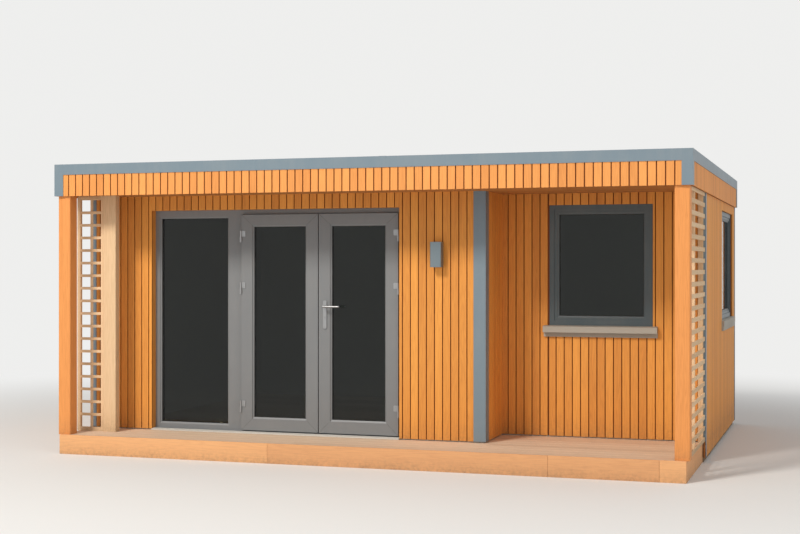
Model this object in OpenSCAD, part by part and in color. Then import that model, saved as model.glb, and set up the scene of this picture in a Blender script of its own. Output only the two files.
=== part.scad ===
// Garden office pod: a flat-roofed timber garden room with a covered deck along its front and a deeper
// covered bay at its right end. Millimetres, +Z up. The front faces -Y and +X is to the right along it.
// The origin is at ground level, under the middle of the roof.

/* [Roof] */
// Length over the roof's metal edge
roof_l = 5440; // [5300:20:6400]
// Depth over the roof's metal edge, front to back
roof_d = 4200; // [3900:20:5200]
// Height from the ground to the top of the metal edge
roof_h = 2500; // [2450:10:2800]
// Height from the fascia's lower edge to the top of the metal edge
eaves_drop = 274; // [240:2:300]
// Thickness of the fascia boards
fascia_t = 20; // [16:1:30]
// How far the fascia hangs below the soffit boards
fascia_drip = 14; // [4:1:24]
// Thickness of the soffit and ceiling boards
soffit_t = 18; // [12:1:25]
// Height of the metal edge
edge_h = 90; // [60:5:120]
// Thickness of the folded metal edge
edge_t = 5; // [3:1:8]
// Width of the kerb round the roof's covering
kerb_w = 35; // [25:5:60]
// Height of the kerb above the front of the roof's covering
kerb_h = 40; // [30:5:70]
// Fall of the roof from front to back
roof_fall = 40; // [10:5:60]
// Thickness of the roof's covering
membrane_t = 4; // [3:1:8]
// Width of each leg of the metal trims on the fascia's corners
fascia_trim_w = 80; // [50:5:120]

/* [Walls] */
// Thickness of a wall panel without its cladding
wall_t = 130; // [100:5:170]
// Thickness of the cladding boards
clad_t = 20; // [16:1:30]
// Depth of the covered porch in front of the doors
porch_d = 575; // [500:5:800]
// How much deeper the bay at the right end is than the porch
bay_d = 602; // [400:2:900]
// Width of the bay at the right end
bay_w = 1717; // [1500:1:1800]
// Height of the cladding's lower edge above the ground
clad_foot = 40; // [20:5:80]
// Gap between the deck and the cladding above it
clad_gap = 10; // [5:1:20]
// Width of each leg of the metal trim on the bay's corner
corner_trim_w = 100; // [60:5:130]
// Width of each leg of the metal trims on the outer corners
outer_trim_w = 50; // [30:5:130]
// Thickness of the metal trims on corners
corner_trim_t = 4; // [2:1:5]

/* [Floor and deck] */
// Height of the deck's surface above the ground
deck_h = 165; // [150:5:200]
// Thickness of the deck boards
deck_board_t = 28; // [20:1:35]
// Thickness of the boards round the deck's edge
deck_edge_t = 20; // [16:1:30]
// How far the deck's ends stop short of the roof's ends
deck_inset = 50; // [50:5:120]
// Thickness of the timbers that carry the deck
joist_t = 45; // [35:1:60]
// Greatest spacing of the timbers that carry the deck
joist_pitch = 420; // [300:10:500]
// Gap at the ends of the timbers that carry the deck
joist_fit = 0.3; // [0.1:0.1:1]
// Height of the insulated floor cassette under the walls
cassette_h = 120; // [100:5:130]
// Height of the finished floor above the deck
floor_step = 15; // [0:1:18]

/* [Doors] */
// Distance from the left end wall's face to the door set
door_margin = 607; // [450:1:700]
// Distance from the fascia's lower edge down to the top of the door set, as seen
door_drop = 111; // [70:1:180]
// Width of the side glass, as seen
side_glass_w = 650; // [450:10:660]
// Width of the frame beside the side glass, as seen
side_frame_w = 56; // [50:1:130]
// Width of the post between the side glass and the doors
mullion_w = 145; // [80:1:160]
// Width of the frame beside the right door, as seen
jamb_w = 17; // [15:1:40]
// Height of the frame over a leaf, as seen
head_w = 40; // [30:1:70]
// Height of the frame over the side glass, as seen
side_head_w = 70; // [50:1:150]
// Height of the lower edge of the side glass above the ground
side_glass_low = 233; // [225:1:400]
// Width of one door leaf
leaf_w = 717; // [640:1:730]
// Thickness of a door leaf
leaf_t = 60; // [50:1:68]
// Width of a leaf's stiles
stile_w = 117; // [90:1:130]
// Height of a leaf's top rail
top_rail_h = 105; // [80:1:130]
// Height of a leaf's bottom rail
bottom_rail_h = 115; // [100:1:180]
// Gap round a leaf
leaf_gap = 5; // [5:1:8]
// Gap between the two leaves
meeting_gap = 8; // [7:1:12]
// How much narrower a leaf is at the back of its closing edge
leaf_bevel = 4; // [4:1:8]
// Depth of the door frame
frame_d = 75; // [65:1:75]
// Setback of the door frame behind the cladding's face
frame_setback = 75; // [65:1:80]
// Setback of the leaves behind the cladding's face
leaf_setback = 40; // [30:1:50]
// How far the cladding laps over a frame
clad_lap = 18; // [12:1:24]
// Width of the frame's stop behind a leaf
stop_w = 15; // [10:1:20]
// Thickness of the sealed glass units
glass_t = 24; // [20:1:28]
// Depth to which glass is held in its frame
glass_bite = 8; // [6:1:12]
// Width of the bead round a glass
bead_w = 14; // [10:1:18]
// How far a bead is set back from the face of its frame
bead_step = 6; // [3:1:8]
// How much deeper the face of a bead lies beside its glass than beside its frame
bead_slope = 6; // [2:1:8]
// Height of the sill above the deck, under the leaves
sill_rise = 20; // [15:1:25]
// How far the sill stands out from the cladding
door_sill_nose = 12; // [0:1:25]

/* [Door fittings] */
// Radius of a hinge knuckle
knuckle_r = 8; // [6:0.5:8]
// Distance of the hinge line from a leaf's face
hinge_offset = 9; // [9:0.5:11]
// Height of a hinge
hinge_h = 100; // [80:5:140]
// Width of the plate that holds a hinge to its leaf
hinge_plate_w = 42; // [30:1:60]
// Thickness of a hinge's plates
hinge_plate_t = 5; // [4:0.5:5]
// Radius of the corners of a hinge's plate
hinge_corner = 6; // [2:1:12]
// Distance from a leaf's lower edge to the middle of its lowest hinge
hinge_low = 206; // [150:2:300]
// Distance from a leaf's upper edge to the middle of its highest hinge
hinge_high = 190; // [120:2:300]
// Distance between a leaf's two upper hinges
hinge_pair = 450; // [250:5:700]
// Height of the handle's spindle above the ground
handle_z = 1275; // [1150:5:1320]
// Width of the handle's plate
plate_w = 32; // [26:1:44]
// Height of the handle's plate
plate_h = 240; // [200:5:260]
// Thickness of the handle's plate
plate_t = 8; // [5:1:12]
// Radius of the corners of the handle's plate
plate_corner = 12; // [4:1:12]
// Distance from the spindle down to the lock
lock_drop = 92; // [70:1:96]
// Radius of the lock's cylinder cover
lock_r = 9; // [7:0.5:12]
// Radius of the handle's neck and lever
lever_r = 9; // [7:0.5:11]
// Length of the handle's lever
lever_l = 140; // [100:5:160]
// Distance from the handle's plate to the middle of its lever
lever_reach = 45; // [35:1:55]

/* [Windows] */
// Width of the bay window's opening in the cladding
bay_window_w = 880; // [700:10:1000]
// Distance from the bay's inner corner to the bay window
bay_window_margin = 405; // [250:5:450]
// Distance from the fascia's lower edge down to the top of the windows, as seen
window_drop = 84; // [60:1:200]
// Height of the windows, as seen
window_h = 1025; // [700:5:1200]
// Width of the end wall's window
end_window_w = 1200; // [800:10:1400]
// Distance from the back of the cladding to the end wall's window
end_window_margin = 275; // [220:5:700]
// Width of a window's frame and sash, as seen
window_frame_w = 80; // [70:1:100]
// Width of the fixed part of a window's frame, as seen
window_outer_w = 42; // [30:1:50]
// Depth of a window's frame
window_frame_d = 70; // [60:1:90]
// How far a sash is set back from its frame
sash_step = 8; // [4:1:12]
// How far the bay window's sill stands out from the cladding
bay_sill_nose = 62; // [40:1:90]
// How far the end window's sill stands out from the cladding
end_sill_nose = 24; // [20:1:25]
// Height of a window sill's nose
sill_nose_h = 58; // [35:1:70]
// Height of a window sill with its apron
sill_h = 96; // [80:1:130]
// Thickness of the apron under a window sill
apron_t = 18; // [10:1:20]
// How far a window sill runs on past the window on each side
sill_ear = 42; // [20:1:80]
// Slope of a window sill's top across its nose
sill_slope = 7; // [3:1:12]
// Thickness of the sill's tongue under the window
sill_tongue = 10; // [6:1:12]

/* [Posts and trellis] */
// Width of a corner post
post_w = 115; // [90:5:150]
// Chamfer on a post's edges
post_chamfer = 5; // [2:1:10]
// Thickness of a trellis slat
slat_t = 12; // [8:1:14]
// Spacing of the climber's trellis slats
trellis_pitch = 110; // [80:1:140]
// Width of a slat of the climber's trellis
slat_w = 24; // [18:1:35]
// Width of the frame of the climber's trellis
trellis_frame_w = 34; // [28:1:50]
// Thickness of the frame of the climber's trellis
trellis_frame_t = 28; // [28:1:40]
// Spacing of the end trellis slats
end_slat_pitch = 92; // [80:1:140]
// Height of an end trellis slat
end_slat_h = 36; // [24:1:60]
// Setback of the end trellis from the face of the post beside it
end_trellis_inset = 5; // [5:1:40]
// Width of the end trellis uprights, along the trellis
upright_w = 35; // [30:1:60]
// Depth of the end trellis uprights
upright_d = 42; // [30:1:60]
// Distance from the corner post to the middle upright of the end trellis
upright_gap = 365; // [200:5:600]
// Width of the post beside the climber's trellis
trellis_post_w = 125; // [90:5:140]
// Depth of the post beside the climber's trellis
trellis_post_d = 70; // [60:5:90]
// Distance from the roof's front edge to the post beside the climber's trellis
trellis_setback = 310; // [240:5:350]
// Width of the climber's trellis
climber_trellis_w = 270; // [200:5:320]

/* [Wall light] */
// Width of the wall light
light_w = 97; // [70:1:120]
// Height of the wall light
light_h = 209; // [150:1:260]
// Depth of the wall light
light_d = 90; // [60:1:110]
// Place of the wall light across the wall beside the doors: 0 at the doors, 1 at the bay's corner
light_place = 0.46; // [0.3:0.01:0.7]
// Height above the ground of the middle of the wall light
light_z = 1717; // [1500:1:1900]

/* [Hidden] */
$fn = 48;

cedar = "#E39A4E";
shaded_cedar = "#8A5A33";
pale_timber = "#E4C79B";
deck_timber = "#C9A585";
anthracite = "#5E6466";
trim_grey = "#8493A0";
lining_white = "#E9E6DF";
glass_dark = "#26302F";
steel_grey = "#B8BCBE";
sill_grey = "#B4AC9C";
covering_grey = "#4A4D4F";

// How far a cut runs past the face that it opens
over = 1;

// The roof's outlines, from the metal edge inwards
roof_x = roof_l / 2;
roof_y = roof_d / 2;
fascia_x = roof_x - edge_t;
fascia_y = roof_y - edge_t;
wall_x = fascia_x - fascia_t;
wall_y = fascia_y - fascia_t;

// The cladding's faces, the panels' outer faces behind it, and the room's faces
front_y = -roof_y + porch_d;
bay_y = front_y + bay_d;
bay_x = wall_x - bay_w;
panel_x = wall_x - clad_t;
panel_back = wall_y - clad_t;
panel_front = front_y + clad_t;
panel_bay = bay_y + clad_t;
panel_return = bay_x - clad_t;
room_x = panel_x - wall_t;
room_back = panel_back - wall_t;
room_front = panel_front + wall_t;
room_bay = panel_bay + wall_t;
room_return = panel_return - wall_t;

// Heights
eaves_h = roof_h - eaves_drop;
door_set_h = eaves_h - door_drop;
window_high = eaves_h - window_drop;
window_low = window_high - window_h;
soffit_z = eaves_h + fascia_drip;
wall_top = soffit_z + soffit_t;
edge_low = roof_h - edge_h;
fascia_top = roof_h - edge_t;
cover_front = fascia_top - kerb_h;
cover_back = cover_front - roof_fall;
floor_z = deck_h + floor_step;
clad_low = deck_h + clad_gap;

// The deck's outline inside its edge boards
deck_x = roof_x - deck_inset;
deck_front = -roof_y + deck_edge_t;
deck_under = deck_h - deck_board_t;

// The door set, from left to right, and its depths
doorway_w = 2 * leaf_w + meeting_gap + 2 * leaf_gap;
door_x0 = -wall_x + door_margin;
side_x0 = door_x0 + side_frame_w;
side_x1 = side_x0 + side_glass_w;
doorway_x0 = side_x1 + mullion_w;
doorway_x1 = doorway_x0 + doorway_w;
door_x1 = doorway_x1 + jamb_w;
frame_x0 = door_x0 - clad_lap;
frame_x1 = door_x1 + clad_lap;
frame_top = door_set_h + clad_lap;
frame_y0 = front_y + frame_setback;
frame_y1 = frame_y0 + frame_d;
leaf_y0 = front_y + leaf_setback;
leaf_y1 = leaf_y0 + leaf_t;
stop_y = leaf_y1 + leaf_gap;
sill_top = deck_h + sill_rise;
leaf_z0 = sill_top + leaf_gap;
leaf_z1 = door_set_h - head_w - leaf_gap;
pane_z0 = leaf_z0 + bottom_rail_h;
pane_z1 = leaf_z1 - top_rail_h;
pane_w = leaf_w - 2 * stile_w;
side_glass_high = door_set_h - side_head_w;
leaf_glass_y = (leaf_y0 + leaf_y1 - glass_t) / 2;
side_glass_y = (frame_y0 + frame_y1 - glass_t) / 2;
left_leaf_x = doorway_x0 + leaf_gap;
right_leaf_x = doorway_x1 - leaf_gap;
left_hinge_x = doorway_x0 + leaf_gap / 2;
right_hinge_x = doorway_x1 - leaf_gap / 2;
hinge_y = leaf_y0 - hinge_offset;
hinge_zs = [leaf_z0 + hinge_low, leaf_z1 - hinge_high - hinge_pair, leaf_z1 - hinge_high];
sill_front_h = 8;
knuckle_gap = 0.5;

// The windows
bay_window_x = bay_x + bay_window_margin;
end_window_y = wall_y - end_window_margin - end_window_w;
window_glass_y = (window_frame_d + sash_step - glass_t) / 2;
light_x = door_x1 + light_place * (bay_x - door_x1);

// The posts
post_y0 = -wall_y;
post_y1 = post_y0 + post_w;
trellis_post_x = -wall_x + climber_trellis_w;
trellis_post_y = -roof_y + trellis_setback;

module block(low, high) {
    translate(low)
        cube(high - low);
}

// A wall outline in plan with the bay cut out of its front right corner
module planOutline(x, back, front, bay, corner) {
    polygon([[-x, front], [corner, front], [corner, bay], [x, bay], [x, back], [-x, back]]);
}

// A ring of one width, square at its corners, between two heights
module ring(outer_x, outer_y, width, low, high) {
    translate([0, 0, low])
        linear_extrude(high - low)
            difference() {
                square([2 * outer_x, 2 * outer_y], center = true);
                square([2 * (outer_x - width), 2 * (outer_y - width)], center = true);
            }
}

// An L-shaped metal angle round a corner; dir_x and dir_y point out of the corner
module cornerTrim(x, y, dir_x, dir_y, leg, thickness, low, high) {
    translate([x, y, low])
        linear_extrude(high - low)
            scale([dir_x, dir_y])
                polygon([[thickness, thickness], [thickness, -leg], [0, -leg],
                         [0, 0], [-leg, 0], [-leg, thickness]]);
}

// The angle at a front corner: it stands over the deck, and its side leg runs on down past the deck's end
module frontCornerTrim(y, dir_x) {
    union() {
        cornerTrim(dir_x * wall_x, y, dir_x, -1, outer_trim_w, corner_trim_t, clad_low, eaves_h);
        translate([dir_x * wall_x, y, clad_foot])
            linear_extrude(clad_low - clad_foot)
                scale([dir_x, 1])
                    polygon([[0, -corner_trim_t], [corner_trim_t, -corner_trim_t],
                             [corner_trim_t, outer_trim_w], [0, outer_trim_w]]);
    }
}

// What a glazed opening takes out of its frame: the hole, the step round the beads, the slope of the beads'
// faces and the groove that holds the glass. x runs along it, and it is seen from the side of face.
module glazedHole(left, right, low, high, face, back, glass_y) {
    step = face + bead_step;
    slope = step + bead_slope;
    block([left, face - over, low], [right, back + over, high]);
    block([left - bead_w, face - over, low - bead_w], [right + bead_w, step, high + bead_w]);
    intersection() {
        translate([0, 0, low - bead_w])
            linear_extrude(high - low + 2 * bead_w)
                polygon([[left - bead_w, step], [right + bead_w, step], [right, slope], [left, slope]]);
        translate([left - bead_w, 0, 0])
            rotate([90, 0, 90])
                linear_extrude(right - left + 2 * bead_w)
                    polygon([[step, low - bead_w], [slope, low], [slope, high], [step, high + bead_w]]);
    }
    glassPane(left, right, low, high, glass_y);
}

// A sealed glass unit that shows between the given edges and runs on into its groove
module glassPane(left, right, low, high, glass_y) {
    block([left - glass_bite, glass_y, low - glass_bite],
          [right + glass_bite, glass_y + glass_t, high + glass_bite]);
}

module floor_cassette() {
    color(shaded_cedar)
        linear_extrude(cassette_h)
            planOutline(panel_x, panel_back, panel_front, panel_bay, panel_return);
}

module floor() {
    color(deck_timber)
        translate([0, 0, cassette_h])
            linear_extrude(floor_z - cassette_h)
                planOutline(room_x, room_back, room_front, room_bay, room_return);
}

// The deck's timbers, cut to fit between each other: rim boards, a trimmer beside the bay, and joists
module deck_frame() {
    rim_x = deck_x - deck_edge_t;
    front = deck_front + joist_t + joist_fit;
    porch_back = panel_front - joist_t - joist_fit;
    bay_back = panel_bay - joist_t - joist_fit;
    color(shaded_cedar) {
        block([-rim_x, deck_front, 0], [rim_x, deck_front + joist_t, deck_under]);
        block([-rim_x, panel_front - joist_t, 0], [panel_return - joist_fit, panel_front, deck_under]);
        block([panel_return, panel_bay - joist_t, 0], [rim_x, panel_bay, deck_under]);
        joists(-rim_x, panel_return - joist_t, front, porch_back);
        joists(panel_return, rim_x - joist_t, front, bay_back);
    }
}

// Joists at an even spacing, the first at from_x and the last at to_x
module joists(from_x, to_x, front, back) {
    bays = ceil((to_x - from_x) / joist_pitch);
    last = from_x < 0 ? bays - 1 : bays;
    for (i = [0:last])
        block([from_x + i * (to_x - from_x) / bays, front, 0],
              [from_x + i * (to_x - from_x) / bays + joist_t, back, deck_under]);
}

module deckOutline(x, front) {
    polygon([[-x, front], [x, front], [x, panel_bay], [panel_return, panel_bay],
             [panel_return, panel_front], [-x, panel_front]]);
}

module deck_boards() {
    color(deck_timber)
        translate([0, 0, deck_under])
            linear_extrude(deck_board_t)
                deckOutline(deck_x - deck_edge_t, deck_front);
}

// The boards that close the deck's front and both of its ends
module deck_edge() {
    color(cedar)
        linear_extrude(deck_h)
            difference() {
                deckOutline(deck_x, -roof_y);
                deckOutline(deck_x - deck_edge_t, deck_front);
            }
}

module left_wall() {
    color(lining_white)
        block([-panel_x, room_front, cassette_h], [-room_x, room_back, wall_top]);
}

module right_wall() {
    color(lining_white)
        difference() {
            block([room_x, panel_bay, cassette_h], [panel_x, room_back, wall_top]);
            block([room_x - over, end_window_y - clad_lap, window_low - clad_lap],
                  [panel_x + over, end_window_y + end_window_w + clad_lap, window_high + clad_lap]);
        }
}

module back_wall() {
    color(lining_white)
        block([-panel_x, room_back, cassette_h], [panel_x, panel_back, wall_top]);
}

module front_wall_left() {
    color(lining_white)
        block([-panel_x, panel_front, cassette_h], [frame_x0, room_front, wall_top]);
}

module front_wall_right() {
    color(lining_white)
        block([frame_x1, panel_front, cassette_h], [panel_return, room_front, wall_top]);
}

module front_wall_head() {
    color(lining_white)
        block([frame_x0, panel_front, frame_top], [frame_x1, room_front, wall_top]);
}

module return_wall() {
    color(lining_white)
        block([room_return, room_front, cassette_h], [panel_return, panel_bay, wall_top]);
}

module bay_wall() {
    color(lining_white)
        difference() {
            block([room_return, panel_bay, cassette_h], [room_x, room_bay, wall_top]);
            block([bay_window_x - clad_lap, panel_bay - over, window_low - clad_lap],
                  [bay_window_x + bay_window_w + clad_lap, room_bay + over, window_high + clad_lap]);
        }
}

// Cladding round the door set, with the boards that line the reveal in front of the door frame
module front_cladding() {
    color(cedar)
        union() {
            difference() {
                block([-panel_x, front_y, clad_low], [bay_x, panel_front, soffit_z]);
                block([door_x0, front_y - over, clad_low - over], [door_x1, panel_front + over, door_set_h]);
            }
            block([frame_x0, panel_front, clad_low], [door_x0, frame_y0, frame_top]);
            block([door_x1, panel_front, clad_low], [frame_x1, frame_y0, frame_top]);
            block([door_x0, panel_front, door_set_h], [door_x1, frame_y0, frame_top]);
        }
}

module return_cladding() {
    color(cedar)
        block([panel_return, panel_front, clad_low], [bay_x, bay_y, soffit_z]);
}

module bay_cladding() {
    color(cedar)
        difference() {
            block([panel_return, bay_y, clad_low], [panel_x, panel_bay, soffit_z]);
            block([bay_window_x, bay_y - over, window_low - sill_tongue],
                  [bay_window_x + bay_window_w, panel_bay + over, window_high]);
        }
}

module left_cladding() {
    color(cedar)
        block([-wall_x, front_y, clad_foot], [-panel_x, wall_y, wall_top]);
}

module right_cladding() {
    color(cedar)
        difference() {
            block([panel_x, bay_y, clad_foot], [wall_x, wall_y, wall_top]);
            block([panel_x - over, end_window_y, window_low - sill_tongue],
                  [wall_x + over, end_window_y + end_window_w, window_high]);
        }
}

module back_cladding() {
    color(cedar)
        block([-panel_x, panel_back, clad_foot], [panel_x, wall_y, wall_top]);
}

module bay_corner_trim() {
    color(trim_grey)
        cornerTrim(bay_x, front_y, 1, -1, corner_trim_w, corner_trim_t, clad_low, soffit_z);
}

module outer_corner_trims() {
    color(trim_grey) {
        frontCornerTrim(front_y, -1);
        frontCornerTrim(bay_y, 1);
        cornerTrim(wall_x, wall_y, 1, 1, outer_trim_w, corner_trim_t, clad_foot, eaves_h);
        cornerTrim(-wall_x, wall_y, -1, 1, outer_trim_w, corner_trim_t, clad_foot, eaves_h);
    }
}

// The door frame: jambs, head, mullion and a sloping sill, rebated for the leaves and for the side glass
module door_frame() {
    head_z = leaf_z1 + leaf_gap;
    color(anthracite)
        union() {
            difference() {
                block([frame_x0, frame_y0, cassette_h], [frame_x1, frame_y1, frame_top]);
                block([doorway_x0, frame_y0 - over, sill_top], [doorway_x1, stop_y, head_z]);
                block([doorway_x0 + stop_w, stop_y - over, sill_top],
                      [doorway_x1 - stop_w, frame_y1 + over, head_z - stop_w]);
                glazedHole(side_x0, side_x1, side_glass_low, side_glass_high,
                           frame_y0, frame_y1, side_glass_y);
            }
            translate([door_x0, 0, 0])
                rotate([90, 0, 90])
                    linear_extrude(door_x1 - door_x0)
                        polygon([[front_y - door_sill_nose, deck_h],
                                 [front_y - door_sill_nose, deck_h + sill_front_h],
                                 [frame_y0, sill_top], [frame_y0, cassette_h],
                                 [panel_front, cassette_h], [panel_front, deck_h]]);
        }
}

module side_glass() {
    color(glass_dark)
        glassPane(side_x0, side_x1, side_glass_low, side_glass_high, side_glass_y);
}

// Where the glass of a leaf shows from, measured from the leaf's hinge edge
function paneLeft(dir) = dir > 0 ? stile_w : stile_w - leaf_w;

// A door leaf. hinge_x is its hinge edge and dir is 1 where it runs to the right from there, -1 to the left.
module doorLeaf(hinge_x, dir) {
    pane_x = paneLeft(dir);
    color(anthracite)
        translate([hinge_x, 0, 0])
            difference() {
                translate([0, 0, leaf_z0])
                    linear_extrude(leaf_z1 - leaf_z0)
                        scale([dir, 1])
                            polygon([[0, leaf_y0], [leaf_w, leaf_y0],
                                     [leaf_w - leaf_bevel, leaf_y1], [0, leaf_y1]]);
                glazedHole(pane_x, pane_x + pane_w, pane_z0, pane_z1, leaf_y0, leaf_y1, leaf_glass_y);
            }
}

module doorGlass(hinge_x, dir) {
    color(glass_dark)
        translate([hinge_x, 0, 0])
            glassPane(paneLeft(dir), paneLeft(dir) + pane_w, pane_z0, pane_z1, leaf_glass_y);
}

module left_door() {
    doorLeaf(left_leaf_x, 1);
}

module left_door_glass() {
    doorGlass(left_leaf_x, 1);
}

module right_door() {
    doorLeaf(right_leaf_x, -1);
}

module right_door_glass() {
    doorGlass(right_leaf_x, -1);
}

// The upper halves of a leaf's hinges, each a knuckle with the plate that holds it to the leaf's face
module leafHinges(hinge_x, dir) {
    color(steel_grey)
        for (z = hinge_zs)
            translate([hinge_x, 0, z + knuckle_gap / 2])
                union() {
                    translate([0, hinge_y, 0])
                        cylinder(r = knuckle_r, h = (hinge_h - knuckle_gap) / 2);
                    translate([dir * hinge_plate_w / 2, leaf_y0, (hinge_h - knuckle_gap) / 4])
                        rotate([90, 0, 0])
                            linear_extrude(hinge_plate_t)
                                roundedPlate(hinge_plate_w, (hinge_h - knuckle_gap) / 2, hinge_corner);
                }
}

module left_door_hinges() {
    leafHinges(left_hinge_x, 1);
}

module right_door_hinges() {
    leafHinges(right_hinge_x, -1);
}

// The lower halves of the hinges, each a knuckle with the bracket that holds it to the door frame
module frame_hinges() {
    half_h = (hinge_h - knuckle_gap) / 2;
    near = knuckle_r / 2;
    far = near + hinge_plate_t;
    color(steel_grey)
        for (side = [[left_hinge_x, -far], [right_hinge_x, near]])
            for (z = hinge_zs)
                translate([side[0], 0, z - hinge_h / 2])
                    union() {
                        translate([0, hinge_y, 0])
                            cylinder(r = knuckle_r, h = half_h);
                        block([side[1], hinge_y - near, 0], [side[1] + hinge_plate_t, frame_y0, half_h]);
                    }
}

// The lever handles, outside and inside, with their plates and lock covers
module door_handle() {
    color(steel_grey)
        translate([right_leaf_x - leaf_w + stile_w / 2, 0, handle_z]) {
            translate([0, leaf_y0, 0])
                leverSet();
            translate([0, leaf_y1, 0])
                mirror([0, 1, 0])
                    leverSet();
        }
}

module leverSet() {
    union() {
        translate([0, 0, plate_w - lock_drop - lever_r])
            rotate([90, 0, 0])
                linear_extrude(plate_t)
                    roundedPlate(plate_w, plate_h, plate_corner);
        rotate([90, 0, 0])
            cylinder(r = lever_r, h = plate_t + lever_reach);
        translate([0, -plate_t - lever_reach, 0])
            sphere(r = lever_r);
        translate([0, -plate_t - lever_reach, 0])
            rotate([0, 90, 0])
                cylinder(r = lever_r, h = lever_l);
        translate([lever_l, -plate_t - lever_reach, 0])
            sphere(r = lever_r);
        translate([0, 0, -lock_drop])
            rotate([90, 0, 0])
                cylinder(r = lock_r, h = plate_t + lock_r / 2);
    }
}

// A window's frame and sash round its glass: x runs along it, +y goes inwards from the back of the cladding
module windowFrame(wide) {
    color(anthracite)
        difference() {
            block([-clad_lap, 0, -clad_lap], [wide + clad_lap, window_frame_d, window_h + clad_lap]);
            block([window_outer_w, -over, window_outer_w],
                  [wide - window_outer_w, sash_step, window_h - window_outer_w]);
            glazedHole(window_frame_w, wide - window_frame_w, window_frame_w, window_h - window_frame_w,
                       sash_step, window_frame_d, window_glass_y);
        }
}

module windowGlass(wide) {
    color(glass_dark)
        glassPane(window_frame_w, wide - window_frame_w, window_frame_w, window_h - window_frame_w,
                  window_glass_y);
}

// A sill with a sloping top, a drip groove, an apron under it and a tongue that runs in under the window
module windowSill(wide, nose) {
    groove = 6;
    color(sill_grey)
        union() {
            translate([-sill_ear, 0, 0])
                rotate([90, 0, 90])
                    linear_extrude(wide + 2 * sill_ear)
                        polygon([[0, 0], [-nose, -sill_slope], [-nose, -sill_nose_h],
                                 [-nose + groove / 2, -sill_nose_h],
                                 [-nose + groove / 2, -sill_nose_h + groove],
                                 [-apron_t, -sill_nose_h + groove], [-apron_t, -sill_h], [0, -sill_h]]);
            block([0, -over, -sill_tongue], [wide, clad_t, 0]);
        }
}

module atBayWindow(y) {
    translate([bay_window_x, y, window_low])
        children();
}

module atEndWindow(x) {
    translate([x, end_window_y, window_low])
        rotate([0, 0, 90])
            children();
}

module bay_window_frame() {
    atBayWindow(panel_bay)
        windowFrame(bay_window_w);
}

module bay_window_glass() {
    atBayWindow(panel_bay)
        windowGlass(bay_window_w);
}

module bay_window_sill() {
    atBayWindow(bay_y)
        windowSill(bay_window_w, bay_sill_nose);
}

module end_window_frame() {
    atEndWindow(panel_x)
        windowFrame(end_window_w);
}

module end_window_glass() {
    atEndWindow(panel_x)
        windowGlass(end_window_w);
}

module end_window_sill() {
    atEndWindow(wall_x)
        windowSill(end_window_w, end_sill_nose);
}

// A rounded rectangle, centred
module roundedPlate(wide, deep, corner) {
    union() {
        square([wide - 2 * corner, deep], center = true);
        square([wide, deep - 2 * corner], center = true);
        for (sx = [-1, 1])
            for (sy = [-1, 1])
                translate([sx * (wide / 2 - corner), sy * (deep / 2 - corner)])
                    circle(r = corner);
    }
}

// An up and down light: a rounded tube, open at both ends onto its lamps, on a plate
module wall_light() {
    corner = 12;
    shell = 5;
    mouth = 6;
    plate = 8;
    deep = light_d - plate;
    color(trim_grey)
        translate([light_x, front_y - plate - deep / 2, light_z])
            union() {
                difference() {
                    translate([0, 0, -light_h / 2])
                        linear_extrude(light_h)
                            roundedPlate(light_w, deep, corner);
                    for (end = [light_h / 2 - mouth, -light_h / 2 - over])
                        translate([0, 0, end])
                            linear_extrude(mouth + over)
                                roundedPlate(light_w - 2 * shell, deep - 2 * shell, corner - shell);
                }
                block([-light_w / 3, deep / 2 - over, -light_h / 3],
                      [light_w / 3, deep / 2 + plate, light_h / 3]);
            }
}

module chamferedPost(wide, deep, low, high) {
    c = post_chamfer;
    translate([0, 0, low])
        linear_extrude(high - low)
            polygon([[c, 0], [wide - c, 0], [wide, c], [wide, deep - c],
                     [wide - c, deep], [c, deep], [0, deep - c], [0, c]]);
}

module left_post() {
    color(cedar)
        translate([-wall_x, post_y0, 0])
            chamferedPost(post_w, post_w, deck_h, soffit_z);
}

module right_post() {
    color(cedar)
        translate([wall_x - post_w, post_y0, 0])
            chamferedPost(post_w, post_w, deck_h, soffit_z);
}

module trellis_post() {
    color(pale_timber)
        translate([trellis_post_x, trellis_post_y, 0])
            chamferedPost(trellis_post_w, trellis_post_d, deck_h, soffit_z);
}

// The climber's trellis panel: upright slats with level slats nailed across them, in a frame along x
module trellisPanel(wide, high) {
    f = trellis_frame_w;
    across = round((wide - 2 * f) / trellis_pitch);
    up = round((high - 2 * f) / trellis_pitch);
    first = trellis_frame_t / 2 - slat_t;
    color(pale_timber)
        union() {
            difference() {
                cube([wide, trellis_frame_t, high]);
                block([f, -over, f], [wide - f, trellis_frame_t + over, high - f]);
            }
            for (i = [1:across - 1])
                translate([f + i * (wide - 2 * f) / across - slat_w / 2, first + slat_t, f / 2])
                    cube([slat_w, slat_t, high - f]);
            for (i = [1:up - 1])
                translate([f / 2, first, f + i * (high - 2 * f) / up - slat_w / 2])
                    cube([wide - f, slat_t, slat_w]);
        }
}

// The trellis that closes the bay's end, from the corner post back to the end wall: level slats nailed on the
// outer faces of three uprights
module right_trellis() {
    outer = wall_x - end_trellis_inset;
    inner = outer - slat_t;
    back = bay_y - corner_trim_t;
    last = floor((soffit_z - clad_low - end_slat_h) / end_slat_pitch);
    color(pale_timber)
        union() {
            for (y = [post_y1, post_y1 + upright_gap, back - upright_w])
                block([inner - upright_d, y, deck_h], [inner, y + upright_w, soffit_z]);
            for (i = [0:last])
                block([inner, post_y1, clad_low + i * end_slat_pitch],
                      [outer, back, clad_low + i * end_slat_pitch + end_slat_h]);
        }
}

// The trellis for a climber, across the porch's left end
module climber_trellis() {
    translate([-wall_x, trellis_post_y + (trellis_post_d - trellis_frame_t) / 2, deck_h])
        trellisPanel(climber_trellis_w, soffit_z - deck_h);
}

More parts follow.
